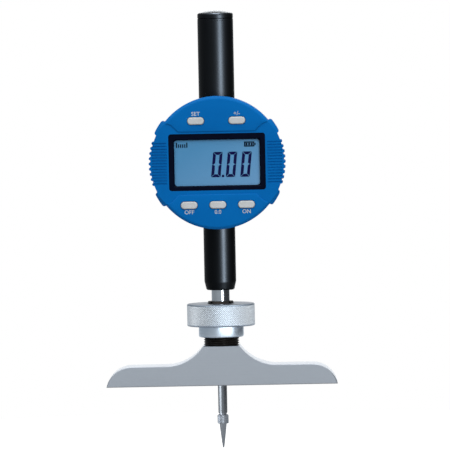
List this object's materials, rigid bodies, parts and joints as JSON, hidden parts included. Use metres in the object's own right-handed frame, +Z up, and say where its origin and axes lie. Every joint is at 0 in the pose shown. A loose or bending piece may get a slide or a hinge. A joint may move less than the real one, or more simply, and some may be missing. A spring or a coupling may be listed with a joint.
{
  "type": "depth gauge",
  "caption": "Digital depth gauge: T-shaped ground base, knurled collet nut, and an indicator with a turning display, a handle tube and a sprung spindle with a needle contact.",
  "frame": {"origin": "where the spindle axis crosses the base's measuring face", "axes": "+Z up the spindle, +X along the base to the right of someone reading the display, -Y towards that person"},
  "size_m": [0.1016, 0.0374, 0.1924],
  "materials": {
    "ground_steel": "finely ground",
    "black_oxide": "oiled black oxide",
    "satin_chrome": "satin chrome, knurled",
    "bright_steel": "polished",
    "brass": "machined",
    "black_gloss": "glossy black",
    "black_plastic": "fine moulded texture",
    "frame_plastic": "glossy near-black",
    "blue_plastic": "satin moulded blue",
    "pale_button": "soft light grey",
    "clear_window": "clear, glossy",
    "display_glass": "blue-grey display",
    "circuit_board": "green solder mask",
    "ribbon": "amber film",
    "rubber": "soft"
  },
  "bodies": {
    "base_body": {"base": "ground_steel", "collet": "black_oxide"},
    "nut": {"clamp_nut": "satin_chrome"},
    "indicator": {"stem_tube": "bright_steel", "lower_spindle_bush": "brass", "stem_sleeve": "black_gloss", "stop_buffer": "rubber", "rear_case": "black_plastic", "back_cover": "black_plastic", "back_cover_screws": "bright_steel", "battery_cell": "bright_steel", "battery_holder": "black_plastic", "battery_contact": "brass", "handle_tube": "black_gloss", "handle_cap": "black_gloss", "upper_spindle_bush": "brass", "spindle_spring": "bright_steel", "guide_rail": "bright_steel", "guide_rail_screws": "bright_steel", "sensor_board": "circuit_board", "sensor_board_screws": "bright_steel", "turn_stop_pin": "bright_steel", "ribbon_cable": "ribbon"},
    "spindle_body": {"spindle": "bright_steel", "contact_point": "bright_steel", "spring_seat": "bright_steel", "scale_carrier": "satin_chrome", "carrier_screw": "bright_steel", "scale_strip": "circuit_board", "guide_pin": "bright_steel"},
    "display_head": {"display_housing": "blue_plastic", "display_back_plate": "black_plastic", "display_screws": "bright_steel", "hub_retaining_ring": "bright_steel", "friction_washer": "bright_steel", "window_frame": "frame_plastic", "window_lens": "clear_window", "lcd_panel": "display_glass", "display_connector": "rubber", "display_board": "circuit_board", "key_switches": "black_plastic", "keypad_sheet": "rubber"},
    "lid": {"battery_lid": "black_plastic"},
    "upper_left_key": {"upper_left_button": "pale_button"},
    "upper_right_key": {"upper_right_button": "pale_button"},
    "lower_left_key": {"lower_left_button": "pale_button"},
    "lower_middle_key": {"lower_middle_button": "pale_button"},
    "lower_right_key": {"lower_right_button": "pale_button"}
  },
  "joints": [
    {"name": "stem_slide", "type": "slide", "parent": "base_body", "child": "indicator", "axis": [0, 0, 1], "range_m": [-0.0045, 0.012]},
    {"name": "clamp_nut_turn", "type": "hinge", "parent": "base_body", "child": "nut", "pos_m": [0, 0, 0.0282], "axis": [0, 0, 1], "range_deg": [0, 180]},
    {"name": "spindle_slide", "type": "slide", "parent": "indicator", "child": "spindle_body", "axis": [0, 0, 1], "range_m": [0, 0.028], "stiffness_N_per_m": 30, "springref_m": -0.03, "deforming": ["spindle_spring"]},
    {"name": "display_turn", "type": "hinge", "parent": "indicator", "child": "display_head", "pos_m": [0, -0.00975, 0.0983], "axis": [0, 1, 0], "range_deg": [-135, 135]},
    {"name": "battery_lid_turn", "type": "hinge", "parent": "indicator", "child": "lid", "pos_m": [0, 0.0102, 0.0983], "axis": [0, 1, 0], "range_deg": [0, 45]},
    {"name": "upper_left_key_press", "type": "slide", "parent": "display_head", "child": "upper_left_key", "axis": [0, 1, 0], "range_m": [0, 0.0006], "stiffness_N_per_m": 1000, "springref_m": -0.0004},
    {"name": "upper_right_key_press", "type": "slide", "parent": "display_head", "child": "upper_right_key", "axis": [0, 1, 0], "range_m": [0, 0.0006], "stiffness_N_per_m": 1000, "springref_m": -0.0004},
    {"name": "lower_left_key_press", "type": "slide", "parent": "display_head", "child": "lower_left_key", "axis": [0, 1, 0], "range_m": [0, 0.0006], "stiffness_N_per_m": 1000, "springref_m": -0.0004},
    {"name": "lower_middle_key_press", "type": "slide", "parent": "display_head", "child": "lower_middle_key", "axis": [0, 1, 0], "range_m": [0, 0.0006], "stiffness_N_per_m": 1000, "springref_m": -0.0004},
    {"name": "lower_right_key_press", "type": "slide", "parent": "display_head", "child": "lower_right_key", "axis": [0, 1, 0], "range_m": [0, 0.0006], "stiffness_N_per_m": 1000, "springref_m": -0.0004}
  ]
}
